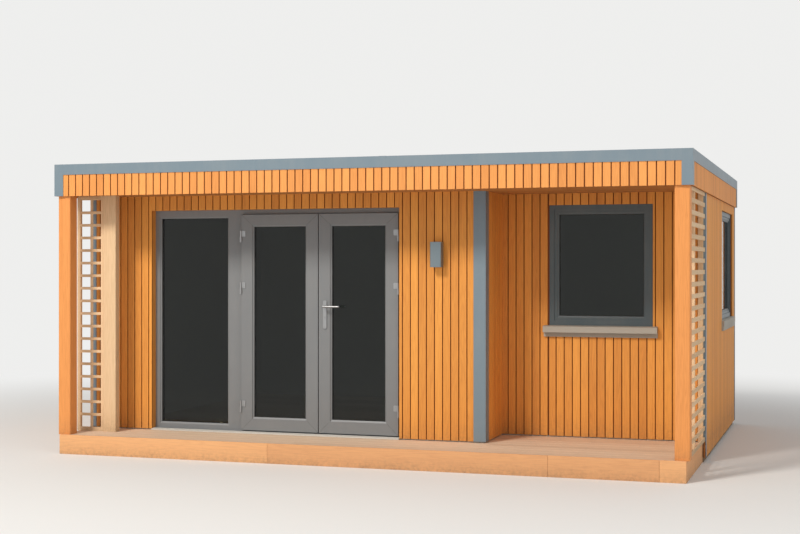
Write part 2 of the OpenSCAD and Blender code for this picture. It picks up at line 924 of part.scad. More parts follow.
module soffit() {
    color(shaded_cedar)
        translate([0, 0, soffit_z])
            linear_extrude(soffit_t)
                polygon([[-wall_x, -wall_y], [wall_x, -wall_y], [wall_x, bay_y], [panel_x, bay_y],
                         [panel_x, panel_bay], [panel_return, panel_bay], [panel_return, panel_front],
                         [-panel_x, panel_front], [-panel_x, front_y], [-wall_x, front_y]]);
}

module ceiling() {
    color(lining_white)
        translate([0, 0, soffit_z])
            linear_extrude(soffit_t)
                planOutline(room_x, room_back, room_front, room_bay, room_return);
}

// The insulated roof panel: its top falls to the back between kerbs
module roof_panel() {
    color(shaded_cedar)
        difference() {
            block([-wall_x, -wall_y, wall_top], [wall_x, wall_y, fascia_top]);
            translate([kerb_w - wall_x, 0, 0])
                rotate([90, 0, 90])
                    linear_extrude(2 * (wall_x - kerb_w))
                        polygon([[kerb_w - wall_y, cover_front], [wall_y - kerb_w, cover_back],
                                 [wall_y - kerb_w, roof_h], [kerb_w - wall_y, roof_h]]);
        }
}

module roof_membrane() {
    color(covering_grey)
        translate([kerb_w - wall_x, 0, 0])
            rotate([90, 0, 90])
                linear_extrude(2 * (wall_x - kerb_w))
                    polygon([[kerb_w - wall_y, cover_front], [wall_y - kerb_w, cover_back],
                             [wall_y - kerb_w, cover_back + membrane_t],
                             [kerb_w - wall_y, cover_front + membrane_t]]);
}

module fascia() {
    color(cedar)
        ring(fascia_x, fascia_y, fascia_t, eaves_h, fascia_top);
}

module fascia_corner_trims() {
    color(trim_grey)
        for (sx = [-1, 1])
            for (sy = [-1, 1])
                cornerTrim(sx * fascia_x, sy * fascia_y, sx, sy, fascia_trim_w, edge_t, eaves_h, edge_low);
}

// The folded metal edge: a deep outer face, a flat top over the fascia and kerb, and a short inner fold
module roof_edge() {
    top_w = edge_t + fascia_t + kerb_w + edge_t;
    fold = edge_t + kerb_h / 2;
    color(trim_grey)
        union() {
            ring(roof_x, roof_y, edge_t, edge_low, roof_h);
            ring(roof_x, roof_y, top_w, fascia_top, roof_h);
            ring(wall_x - kerb_w, wall_y - kerb_w, edge_t, roof_h - fold, roof_h);
        }
}

floor_cassette();
floor();
deck_frame();
deck_boards();
deck_edge();
left_wall();
right_wall();
back_wall();
front_wall_left();
front_wall_right();
front_wall_head();
return_wall();
bay_wall();
front_cladding();
return_cladding();
bay_cladding();
left_cladding();
right_cladding();
back_cladding();
bay_corner_trim();
outer_corner_trims();
door_frame();
side_glass();
frame_hinges();
left_door();
left_door_glass();
left_door_hinges();
right_door();
right_door_glass();
right_door_hinges();
door_handle();
bay_window_frame();
bay_window_glass();
bay_window_sill();
end_window_frame();
end_window_glass();
end_window_sill();
wall_light();
left_post();
right_post();
right_trellis();
climber_trellis();
trellis_post();
soffit();
ceiling();
roof_panel();
roof_membrane();
fascia();
fascia_corner_trims();
roof_edge();
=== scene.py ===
import math
import random

import bmesh
import bpy
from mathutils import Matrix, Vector


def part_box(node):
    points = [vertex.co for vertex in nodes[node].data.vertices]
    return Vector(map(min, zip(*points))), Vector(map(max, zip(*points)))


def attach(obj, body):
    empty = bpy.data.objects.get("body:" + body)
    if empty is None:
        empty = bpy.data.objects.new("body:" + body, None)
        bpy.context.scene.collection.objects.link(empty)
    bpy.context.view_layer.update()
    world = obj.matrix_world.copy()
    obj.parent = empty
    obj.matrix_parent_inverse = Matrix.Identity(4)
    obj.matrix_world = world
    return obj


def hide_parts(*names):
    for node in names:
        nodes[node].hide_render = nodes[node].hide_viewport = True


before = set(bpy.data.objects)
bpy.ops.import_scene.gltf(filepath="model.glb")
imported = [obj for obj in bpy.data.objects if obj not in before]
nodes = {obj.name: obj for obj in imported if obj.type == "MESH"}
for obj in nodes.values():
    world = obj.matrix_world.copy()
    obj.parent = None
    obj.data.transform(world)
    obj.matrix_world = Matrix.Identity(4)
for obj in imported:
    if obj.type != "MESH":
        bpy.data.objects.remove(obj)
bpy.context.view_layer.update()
print("frame loaded:", len(nodes), "nodes")

axisX, axisY, axisZ = Vector((1, 0, 0)), Vector((0, 1, 0)), Vector((0, 0, 1))
lap = 0.018  # how far the cladding laps over a frame
glassBite = 0.008  # how far a glass runs on into its frame
sillTongue = 0.010  # thickness of a sill's tongue under its window


def lowOf(node, axis):
    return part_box(node)[0]["xyz".index(axis)]


def highOf(node, axis):
    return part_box(node)[1]["xyz".index(axis)]


# The building's outlines, all read from the frame
place = {
    "wallX": highOf("right_cladding", "x"), "wallY": highOf("back_cladding", "y"),
    "fasciaX": highOf("fascia", "x"), "roofX": highOf("roof_edge", "x"), "roofY": highOf("roof_edge", "y"),
    "roofTop": highOf("roof_edge", "z"), "edgeLow": lowOf("roof_edge", "z"),
    "panelX": highOf("floor_cassette", "x"), "panelBack": highOf("floor_cassette", "y"),
    "panelFront": lowOf("floor_cassette", "y"), "panelBay": lowOf("bay_wall", "y"),
    "panelReturn": highOf("return_wall", "x"), "roomReturn": lowOf("return_wall", "x"),
    "roomBay": highOf("bay_wall", "y"), "frontY": lowOf("front_cladding", "y"),
    "bayY": lowOf("bay_cladding", "y"), "bayX": highOf("return_cladding", "x"),
    "cladLow": lowOf("front_cladding", "z"), "cladFoot": lowOf("back_cladding", "z"),
    "wallTop": highOf("left_wall", "z"), "soffitZ": highOf("front_cladding", "z"),
    "eavesZ": lowOf("fascia", "z"), "fasciaTop": highOf("fascia", "z"),
    "deckX": highOf("deck_edge", "x"), "deckFront": lowOf("deck_edge", "y"),
    "deckZ": highOf("deck_boards", "z"),
    "doorX0": lowOf("door_frame", "x") + lap, "doorX1": highOf("door_frame", "x") - lap,
    "doorTop": highOf("door_frame", "z") - lap, "frameY": highOf("front_cladding", "y"),
    "windowLow": lowOf("bay_window_frame", "z") + lap, "windowHigh": highOf("bay_window_frame", "z") - lap,
    "bayWindowX0": lowOf("bay_window_frame", "x") + lap, "bayWindowX1": highOf("bay_window_frame", "x") - lap,
    "endWindowY0": lowOf("end_window_frame", "y") + lap, "endWindowY1": highOf("end_window_frame", "y") - lap,
}


# Materials

def socket(group, name, kind, way="INPUT", value=None):
    made = group.interface.new_socket(name=name, in_out=way, socket_type="NodeSocket" + kind)
    if value is not None:
        made.default_value = value


def newGroup(name):
    group = bpy.data.node_groups.new(name, "ShaderNodeTree")
    return group, group.nodes.new("NodeGroupInput"), group.nodes.new("NodeGroupOutput")


def mathNode(tree, operation, *values):
    node = tree.nodes.new("ShaderNodeMath")
    node.operation = operation
    for slotIndex, value in enumerate(values):
        if isinstance(value, (int, float)):
            node.inputs[slotIndex].default_value = value
        else:
            tree.links.new(value, node.inputs[slotIndex])
    return node.outputs[0]


def mixColour(tree, fac, first, second, blend="MIX"):
    node = tree.nodes.new("ShaderNodeMix")
    node.data_type = "RGBA"
    node.blend_type = blend
    node.clamp_factor = True
    for key, value in ((0, fac), (6, first), (7, second)):  # a colour mix takes its colours at 6 and 7
        if isinstance(value, (int, float, tuple)):
            node.inputs[key].default_value = value
        else:
            tree.links.new(value, node.inputs[key])
    return node.outputs[2]


def noiseNode(tree, vector, scale, detail, rough):
    node = tree.nodes.new("ShaderNodeTexNoise")
    node.inputs["Scale"].default_value = scale
    node.inputs["Detail"].default_value = detail
    node.inputs["Roughness"].default_value = rough
    tree.links.new(vector, node.inputs["Vector"])
    return node.outputs["Fac"]


def rampNode(tree, value, low, high, start=0.0, end=1.0):
    node = tree.nodes.new("ShaderNodeMapRange")
    node.interpolation_type = "SMOOTHSTEP"
    for key, amount in (("From Min", low), ("From Max", high), ("To Min", start), ("To Max", end)):
        node.inputs[key].default_value = amount
    tree.links.new(value, node.inputs["Value"])
    return node.outputs["Result"]


def vectorNode(tree, operation, first, second):
    node = tree.nodes.new("ShaderNodeVectorMath")
    node.operation = operation
    for slotIndex, value in enumerate((first, second)):
        if isinstance(value, tuple):
            node.inputs[slotIndex].default_value = value
        else:
            tree.links.new(value, node.inputs[slotIndex])
    return node.outputs[0]


# In the next three dictionaries a noise is (scale, detail, roughness), and an edge is (from, to)
# grooveShade darkens the grooves between boards: painted shade, with some dirt
grain = {"seedSteps": (3.7, 5.3, 2.9), "fibre": (150.0, 5.0, 0.65), "band": (24.0, 3.0, 0.5),
         "ringCount": 30.0, "streak": (9.0, 2.0, 0.5), "streakEdge": (0.56, 0.74),
         "knotScale": 3.2, "knotEdge": (0.020, 0.055),
         "fibreShare": 0.55, "ringShare": 0.36, "streakShare": 0.30, "middle": 0.45, "level": 0.68,
         "fibreHeight": 0.7, "ringHeight": 0.3, "grooveShade": (0.42, 0.34, 0.28, 1.0)}


def makeTimberGrain():
    # Growth rings, fibres, dark streaks and a few knots, drawn out along the board, and painted shade with
    # some dirt darkening the grooves between boards
    group, into, out = newGroup("timberGrain")
    socket(group, "Place", "Vector")
    socket(group, "Stretch", "Vector", value=(1.0, 1.0, 0.06))
    socket(group, "Seed", "Float", value=0.0)
    socket(group, "Tone", "Float", value=0.5)
    socket(group, "Groove", "Float", value=0.0)
    socket(group, "Pale", "Color", value=(0.7, 0.4, 0.15, 1.0))
    socket(group, "Dark", "Color", value=(0.3, 0.12, 0.04, 1.0))
    socket(group, "Figure", "Float", value=0.5)
    socket(group, "Spread", "Float", value=0.4)
    socket(group, "Knots", "Float", value=0.0)
    socket(group, "Color", "Color", "OUTPUT")
    socket(group, "Height", "Float", "OUTPUT")
    links = group.links
    seed = group.nodes.new("ShaderNodeCombineXYZ")
    for axis, step in enumerate(grain["seedSteps"]):
        links.new(mathNode(group, "MULTIPLY", into.outputs["Seed"], step), seed.inputs[axis])
    drawn = vectorNode(group, "MULTIPLY", into.outputs["Place"], into.outputs["Stretch"])
    drawn = vectorNode(group, "ADD", drawn, seed.outputs[0])
    fibre = noiseNode(group, drawn, *grain["fibre"])
    band = mathNode(group, "MULTIPLY", noiseNode(group, drawn, *grain["band"]), grain["ringCount"])
    rings = mathNode(group, "ABSOLUTE", mathNode(group, "SINE", band))
    streak = rampNode(group, noiseNode(group, drawn, *grain["streak"]), *grain["streakEdge"])
    knot = group.nodes.new("ShaderNodeTexVoronoi")
    knot.inputs["Scale"].default_value = grain["knotScale"]
    links.new(vectorNode(group, "ADD", into.outputs["Place"], seed.outputs[0]), knot.inputs["Vector"])
    knotMask = rampNode(group, knot.outputs["Distance"], *grain["knotEdge"], 1.0, 0.0)
    knotMask = mathNode(group, "MULTIPLY", knotMask, into.outputs["Knots"])
    figure = mathNode(group, "MULTIPLY", rings, grain["ringShare"])
    figure = mathNode(group, "MULTIPLY_ADD", fibre, grain["fibreShare"], figure)
    figure = mathNode(group, "SUBTRACT", figure, mathNode(group, "MULTIPLY", streak, grain["streakShare"]))
    figure = mathNode(group, "SUBTRACT", figure, grain["middle"])
    amount = mathNode(group, "MULTIPLY", figure, into.outputs["Figure"])
    tone = mathNode(group, "SUBTRACT", into.outputs["Tone"], 0.5)
    tone = mathNode(group, "MULTIPLY", tone, into.outputs["Spread"])
    fac = mathNode(group, "ADD", mathNode(group, "ADD", amount, tone), grain["level"])
    fac = mathNode(group, "SUBTRACT", fac, knotMask)
    colour = mixColour(group, fac, into.outputs["Dark"], into.outputs["Pale"])
    # Painted shade, with some dirt: the grooves between boards are darkened towards grooveShade
    shade = mixColour(group, 1.0, into.outputs["Dark"], grain["grooveShade"], "MULTIPLY")
    links.new(mixColour(group, into.outputs["Groove"], colour, shade), out.inputs["Color"])
    height = mathNode(group, "MULTIPLY", rings, grain["ringHeight"])
    height = mathNode(group, "MULTIPLY_ADD", fibre, grain["fibreHeight"], height)
    links.new(height, out.inputs["Height"])
    return group


splash = {"specks": (38.0, 6.0, 0.7), "speckEdge": (0.35, 0.75), "cloud": (6.0, 3.0, 0.5), "most": 0.9}


def makeGroundSplash():
    # Dirt that rain throws up from the ground, densest at the foot
    group, into, out = newGroup("groundSplash")
    socket(group, "Place", "Vector")
    socket(group, "Color", "Color", value=(0.5, 0.5, 0.5, 1.0))
    socket(group, "Dirt", "Color", value=(0.12, 0.09, 0.06, 1.0))
    socket(group, "Foot", "Float", value=0.0)
    socket(group, "Reach", "Float", value=0.3)
    socket(group, "Amount", "Float", value=0.5)
    socket(group, "Color", "Color", "OUTPUT")
    links = group.links
    parts = group.nodes.new("ShaderNodeSeparateXYZ")
    links.new(into.outputs["Place"], parts.inputs[0])
    above = mathNode(group, "SUBTRACT", parts.outputs[2], into.outputs["Foot"])
    fall = mathNode(group, "SUBTRACT", 1.0, mathNode(group, "DIVIDE", above, into.outputs["Reach"]))
    fall = mathNode(group, "MAXIMUM", mathNode(group, "MINIMUM", fall, 1.0), 0.0)
    specks = noiseNode(group, into.outputs["Place"], *splash["specks"])
    specks = rampNode(group, specks, *splash["speckEdge"])
    cloud = noiseNode(group, into.outputs["Place"], *splash["cloud"])
    mask = mathNode(group, "MULTIPLY", fall, mathNode(group, "ADD", specks, cloud))
    mask = mathNode(group, "MULTIPLY", mask, fall)
    mask = mathNode(group, "MULTIPLY", mask, into.outputs["Amount"])
    mask = mathNode(group, "MINIMUM", mask, splash["most"])
    links.new(mixColour(group, mask, into.outputs["Color"], into.outputs["Dirt"]), out.inputs["Color"])
    return group


dust = {"cloud": (3.5, 5.0, 0.6), "run": (22.0, 4.0, 0.6), "speck": (420.0, 2.0, 0.5),
        "cloudShare": 0.6, "runShare": 0.4, "runStretch": (1.0, 1.0, 0.12), "edge": (0.35, 0.75),
        "dustRough": 0.8, "speckRough": 0.06}


def makeSurfaceDust():
    # Cloudy dust and rain marks on paint, metal and glass
    group, into, out = newGroup("surfaceDust")
    socket(group, "Place", "Vector")
    socket(group, "Color", "Color", value=(0.5, 0.5, 0.5, 1.0))
    socket(group, "Dust", "Color", value=(0.5, 0.47, 0.42, 1.0))
    socket(group, "Amount", "Float", value=0.2)
    socket(group, "Gloss", "Float", value=0.35)
    socket(group, "Color", "Color", "OUTPUT")
    socket(group, "Roughness", "Float", "OUTPUT")
    socket(group, "Height", "Float", "OUTPUT")
    links = group.links
    cloud = noiseNode(group, into.outputs["Place"], *dust["cloud"])
    drawn = vectorNode(group, "MULTIPLY", into.outputs["Place"], dust["runStretch"])
    run = noiseNode(group, drawn, *dust["run"])
    speck = noiseNode(group, into.outputs["Place"], *dust["speck"])
    marks = mathNode(group, "MULTIPLY", run, dust["runShare"])
    marks = mathNode(group, "MULTIPLY_ADD", cloud, dust["cloudShare"], marks)
    mask = mathNode(group, "MULTIPLY", rampNode(group, marks, *dust["edge"]), into.outputs["Amount"])
    links.new(mixColour(group, mask, into.outputs["Color"], into.outputs["Dust"]), out.inputs["Color"])
    rough = mathNode(group, "MULTIPLY_ADD", mask, dust["dustRough"], into.outputs["Gloss"])
    links.new(mathNode(group, "MULTIPLY_ADD", speck, dust["speckRough"], rough), out.inputs["Roughness"])
    links.new(speck, out.inputs["Height"])
    return group


timberGrain = makeTimberGrain()
groundSplash = makeGroundSplash()
surfaceDust = makeSurfaceDust()


def startMaterial(name):
    material = bpy.data.materials.new(name)
    material.use_nodes = True
    tree = material.node_tree
    coords = tree.nodes.new("ShaderNodeTexCoord")
    return material, tree, tree.nodes["Principled BSDF"], coords.outputs["Object"]


def placeGroup(tree, group, position, **values):
    node = tree.nodes.new("ShaderNodeGroup")
    node.node_tree = group
    tree.links.new(position, node.inputs["Place"])
    for name, value in values.items():
        if hasattr(value, "is_linked"):
            tree.links.new(value, node.inputs[name])
        elif isinstance(value, tuple) and name != "Stretch":
            node.inputs[name].default_value = value + (1.0,)
        else:
            node.inputs[name].default_value = value
    return node


def bumpInto(tree, shader, height, strength, distance):
    bump = tree.nodes.new("ShaderNodeBump")
    bump.inputs["Strength"].default_value = strength
    bump.inputs["Distance"].default_value = distance
    tree.links.new(height, bump.inputs["Height"])
    tree.links.new(bump.outputs["Normal"], shader.inputs["Normal"])


def attributeNode(tree, name):
    node = tree.nodes.new("ShaderNodeAttribute")
    node.attribute_name = name
    return node.outputs["Fac"]


# What all timber shares, and what paint has unless its own look says otherwise
timberSkin = {"roughSwing": 0.25, "roughMiddle": 0.12, "bump": 0.35, "bumpDepth": 0.0012, "specular": 0.35}
paintSkin = {"metal": 0.0, "reach": 0.3, "bump": 0.08, "bumpDepth": 0.0004, "dustColour": (0.42, 0.40, 0.36)}


def timberMaterial(name, look):
    # look: pale, dark, stretch, figure, spread, rough and perhaps knots; boards where each board has a tone
    # of its own and painted shade in its grooves; foot, reach and dirt where splash starts at the height foot
    material, tree, shader, position = startMaterial(name)
    values = {"Stretch": look["stretch"], "Pale": look["pale"], "Dark": look["dark"],
              "Figure": look["figure"], "Spread": look["spread"], "Knots": look.get("knots", 0.0)}
    if look.get("boards"):
        values.update(Seed=attributeNode(tree, "boardSeed"), Tone=attributeNode(tree, "boardTone"),
                      Groove=attributeNode(tree, "boardGroove"))
    figured = placeGroup(tree, timberGrain, position, **values)
    colour = figured.outputs["Color"]
    if "foot" in look:
        colour = placeGroup(tree, groundSplash, position, Color=colour, Foot=look["foot"],
                            Reach=look["reach"], Amount=look["dirt"]).outputs["Color"]
    tree.links.new(colour, shader.inputs["Base Color"])
    rough = mathNode(tree, "MULTIPLY_ADD", figured.outputs["Height"], timberSkin["roughSwing"],
                     look["rough"] - timberSkin["roughMiddle"])
    tree.links.new(rough, shader.inputs["Roughness"])
    bumpInto(tree, shader, figured.outputs["Height"], timberSkin["bump"], timberSkin["bumpDepth"])
    shader.inputs["Specular IOR Level"].default_value = timberSkin["specular"]
    return material


def paintMaterial(name, look):
    # look: colour, gloss, dust and perhaps metal, bump and dustColour; foot and dirt as for timber
    material, tree, shader, position = startMaterial(name)
    look = dict(paintSkin, **look)
    dusty = placeGroup(tree, surfaceDust, position, Color=look["colour"], Amount=look["dust"],
                       Gloss=look["gloss"], Dust=look["dustColour"])
    colour = dusty.outputs["Color"]
    if "foot" in look:
        colour = placeGroup(tree, groundSplash, position, Color=colour, Foot=look["foot"],
                            Reach=look["reach"], Amount=look["dirt"]).outputs["Color"]
    tree.links.new(colour, shader.inputs["Base Color"])
    tree.links.new(dusty.outputs["Roughness"], shader.inputs["Roughness"])
    shader.inputs["Metallic"].default_value = look["metal"]
    bumpInto(tree, shader, dusty.outputs["Height"], look["bump"], look["bumpDepth"])
    return material


def glassMaterial(name, look):
    material, tree, shader, position = startMaterial(name)
    dusty = placeGroup(tree, surfaceDust, position, Color=look["tintAndPaintedShade"], Amount=look["dust"],
                       Gloss=look["gloss"], Dust=look["dustColour"])
    tree.links.new(dusty.outputs["Color"], shader.inputs["Base Color"])
    tree.links.new(dusty.outputs["Roughness"], shader.inputs["Roughness"])
    shader.inputs["Transmission Weight"].default_value = 1.0
    shader.inputs["IOR"].default_value = look["ior"]
    return material


# Which way the grain is drawn out
alongX, alongZ, level = (0.05, 1.0, 1.0), (1.0, 1.0, 0.05), (0.05, 0.05, 1.0)

claddingLook = {"pale": (0.90, 0.385, 0.074), "dark": (0.50, 0.160, 0.028), "stretch": alongZ, "figure": 0.60,
                "spread": 0.36, "rough": 0.6, "boards": True, "foot": 0.16, "reach": 0.30, "dirt": 0.30}
postLook = {"pale": (0.90, 0.365, 0.105), "dark": (0.56, 0.180, 0.038), "stretch": alongZ, "figure": 0.6,
            "spread": 0.3, "rough": 0.58, "foot": 0.165, "reach": 0.2, "dirt": 0.3}
paleLook = {"pale": (0.86, 0.62, 0.38), "dark": (0.54, 0.33, 0.16), "stretch": alongZ, "figure": 0.6,
            "knots": 0.5, "spread": 0.3, "rough": 0.7, "foot": 0.165, "reach": 0.25, "dirt": 0.35}
timbers = {
    "claddingCedar": claddingLook,
    "fasciaCedar": {"pale": (0.92, 0.390, 0.105), "dark": (0.56, 0.180, 0.038), "stretch": alongZ,
                    "figure": 0.55, "spread": 0.34, "rough": 0.6, "boards": True},
    # The soffit's cedar is a darker copy of the fascia's cedar: painted shade for the underside of the eaves
    "shadedSoffitCedar": {"pale": (0.58, 0.25, 0.07), "dark": (0.28, 0.090, 0.02), "stretch": alongX, "figure": 0.6,
                    "spread": 0.4, "rough": 0.6, "boards": True},
    "postCedar": postLook,
    "deckTop": {"pale": (0.80, 0.60, 0.43), "dark": (0.50, 0.33, 0.21), "stretch": alongX, "figure": 0.55,
                "spread": 0.35, "rough": 0.72, "boards": True, "knots": 0.35},
    "deckFront": {"pale": (0.88, 0.47, 0.21), "dark": (0.55, 0.25, 0.115), "stretch": level, "figure": 0.55,
                  "spread": 0.45, "rough": 0.68, "boards": True, "foot": 0.0, "reach": 0.16, "dirt": 0.35},
    "trellisTimber": dict(paleLook, boards=True),
    "levelTimber": dict(paleLook, boards=True, stretch=level, spread=0.4),
    "palePost": paleLook,
    "framingTimber": {"pale": (0.42, 0.27, 0.13), "dark": (0.22, 0.13, 0.06), "stretch": level, "figure": 0.6,
                      "spread": 0.3, "rough": 0.8, "foot": 0.0, "reach": 0.12, "dirt": 0.7},
    "roomFloor": {"pale": (0.50, 0.36, 0.22), "dark": (0.30, 0.19, 0.10), "stretch": alongX, "figure": 0.6,
                  "spread": 0.5, "rough": 0.42, "boards": True, "knots": 0.3},
}
paints = {
    "framePaint": {"colour": (0.200, 0.207, 0.213), "gloss": 0.40, "dust": 0.08},
    "windowPaint": {"colour": (0.078, 0.104, 0.114), "gloss": 0.36, "dust": 0.08},
    "trimMetal": {"colour": (0.180, 0.240, 0.285), "gloss": 0.38, "dust": 0.12, "foot": 0.04, "dirt": 0.3},
    "sillPaint": {"colour": (0.41, 0.375, 0.315), "gloss": 0.55, "dust": 0.22},
    "lining": {"colour": (0.62, 0.60, 0.55), "gloss": 0.75, "dust": 0.05},
    "fittingSteel": {"colour": (0.37, 0.375, 0.38), "gloss": 0.36, "dust": 0.10, "metal": 0.9},
    "thresholdMetal": {"colour": (0.66, 0.64, 0.59), "gloss": 0.45, "dust": 0.30, "metal": 0.4},
    "lightMetal": {"colour": (0.19, 0.235, 0.26), "gloss": 0.34, "dust": 0.10, "metal": 0.6},
    "lampLens": {"colour": (0.74, 0.73, 0.68), "gloss": 0.30, "dust": 0.10},
    # Black rubber for the gaskets; the same finish is painted shade in screw sockets, the keyhole and the
    # mitre joints
    "rubberAndPaintedShade": {"colour": (0.018, 0.019, 0.020), "gloss": 0.6, "dust": 0.05},
    "covering": {"colour": (0.055, 0.060, 0.065), "gloss": 0.7, "dust": 0.45,
                 "dustColour": (0.20, 0.19, 0.17), "bump": 0.3},
}
finishes = {name: timberMaterial(name, look) for name, look in timbers.items()}
finishes.update((name, paintMaterial(name, look)) for name, look in paints.items())
# The glazing's tint is the glass's own slight green, darkened as painted shade for the dim room behind it
finishes["glazing"] = glassMaterial("glazing", {"tintAndPaintedShade": (0.30, 0.34, 0.33), "dustColour": (0.22, 0.23, 0.22),
                                                "gloss": 0.012, "dust": 0.05, "ior": 1.36})
print("finishes made:", len(finishes))


# Making pieces

def linkPiece(name, bm, finish, replaced=(), body="building"):
    bmesh.ops.recalc_face_normals(bm, faces=bm.faces)
    mesh = bpy.data.meshes.new(name)
    bm.to_mesh(mesh)
    bm.free()
    mesh.materials.append(finishes[finish])
    piece = bpy.data.objects.new(name, mesh)
    bpy.context.collection.objects.link(piece)
    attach(piece, body)
    if replaced:
        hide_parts(*replaced)


def newMesh():
    bm = bmesh.new()
    for name in ("boardTone", "boardSeed", "boardGroove"):
        bm.verts.layers.float.new(name)
    return bm


def rollBoard(dice):
    return dice.random(), dice.random() * 20  # a board's tone, and where in the grain it is cut from


def addPrism(bm, outline, run, tone=0.5, seed=0.0, paintedShadePoints=None):
    # outline is a list of points in space, and run the way to its other end; the last list marks the points
    # that get painted shade in a groove
    layers = bm.verts.layers.float
    near = [bm.verts.new(point) for point in outline]
    far = [bm.verts.new(point + run) for point in outline]
    for index, vert in enumerate(near + far):
        vert[layers["boardTone"]] = tone
        vert[layers["boardSeed"]] = seed
        if paintedShadePoints:
            vert[layers["boardGroove"]] = paintedShadePoints[index % len(outline)]
    bm.faces.new(near)
    bm.faces.new(list(reversed(far)))
    for index in range(len(outline)):
        after = (index + 1) % len(outline)
        bm.faces.new((near[after], near[index], far[index], far[after]))


runX, runY, runZ = 0, 1, 2  # the axis that a bar runs along


def addBar(bm, low, high, along, ease, dice=None):
    # A box whose four long edges are eased
    first, second = [axis for axis in range(3) if axis != along]
    a0, a1, b0, b1 = low[first], high[first], low[second], high[second]
    profile = [(a0, b0), (a1, b0), (a1, b1), (a0, b1)]
    if ease:
        profile = [(a0 + ease, b0), (a1 - ease, b0), (a1, b0 + ease), (a1, b1 - ease),
                   (a1 - ease, b1), (a0 + ease, b1), (a0, b1 - ease), (a0, b0 + ease)]
    outline = []
    for a, b in profile:
        point = Vector((0, 0, 0))
        point[first], point[second], point[along] = a, b, low[along]
        outline.append(point)
    run = Vector((0, 0, 0))
    run[along] = high[along] - low[along]
    addPrism(bm, outline, run, *(rollBoard(dice) if dice else ()))


# Strips of a board and bared tongues under these widths are left out; slack forgives rounding
leastStrip, leastTongue, slack = 0.003, 0.0005, 0.001


def addBoards(bm, board, origin, across, out, along, regions, dice):
    # Boards side by side: across is the way they follow each other, out the way they face, and along
    # the way they run. Each region is (from, to) across and (from, to) along, and cuts them to its shape.
    pitch, gap, thick, tongue, bevel = (board[key] for key in ("pitch", "gap", "thick", "tongue", "bevel"))
    last = max(region[1] for region in regions)
    for index in range(math.ceil(last / pitch - slack)):
        start = index * pitch
        tone, seed = rollBoard(dice)
        for low, high, foot, top in regions:
            left, right = max(start, low), min(start + pitch, high)
            if right - left < leastStrip:
                continue
            faceEnd = min(start + pitch - gap, right)
            profile = [(left, 0.0), (right, 0.0)]
            if right - faceEnd > leastTongue:
                profile += [(right, tongue), (faceEnd, tongue)]
            if faceEnd - left > 3 * bevel:
                profile += [(faceEnd, thick - bevel), (faceEnd - bevel, thick),
                            (left + bevel, thick), (left, thick - bevel)]
            else:
                profile += [(left, tongue)]
            outline = [origin + across * s + out * d + along * foot for s, d in profile]
            # The groove and the tongue in it get painted shade
            paintedShadePoints = [1.0 if d <= tongue else 0.0 for s, d in profile]
            addPrism(bm, outline, along * (top - foot), tone, seed, paintedShadePoints)


def addRing(bm, corner, across, up, depth, size, width):
    # A flat rectangular ring: size is its width and height, width how far it reaches inwards
    wide, high = size
    outer = [(0, 0), (wide, 0), (wide, high), (0, high)]
    inner = [(width, width), (wide - width, width), (wide - width, high - width), (width, high - width)]
    near = [bm.verts.new(corner + across * s + up * t) for s, t in outer + inner]
    far = [bm.verts.new(corner + across * s + up * t + depth) for s, t in outer + inner]
    for index in range(4):
        after = (index + 1) % 4
        bm.faces.new((near[index], near[after], near[after + 4], near[index + 4]))
        bm.faces.new((far[after], far[index], far[index + 4], far[after + 4]))
        bm.faces.new((near[after], near[index], far[index], far[after]))
        bm.faces.new((near[index + 4], near[after + 4], far[after + 4], far[index + 4]))


def addDisc(bm, centre, facing, radius, height, sides):
    side = axisZ.cross(facing).normalized() if abs(facing.z) < 0.9 else axisX
    up = facing.cross(side)
    outline = []
    for step in range(sides):
        angle = 2 * math.pi * step / sides
        outline.append(centre + side * radius * math.cos(angle) + up * radius * math.sin(angle))
    addPrism(bm, outline, facing * height)


cladding = {"pitch": 0.070, "gap": 0.008, "thick": 0.020, "tongue": 0.008, "bevel": 0.0018, "seed": 11}


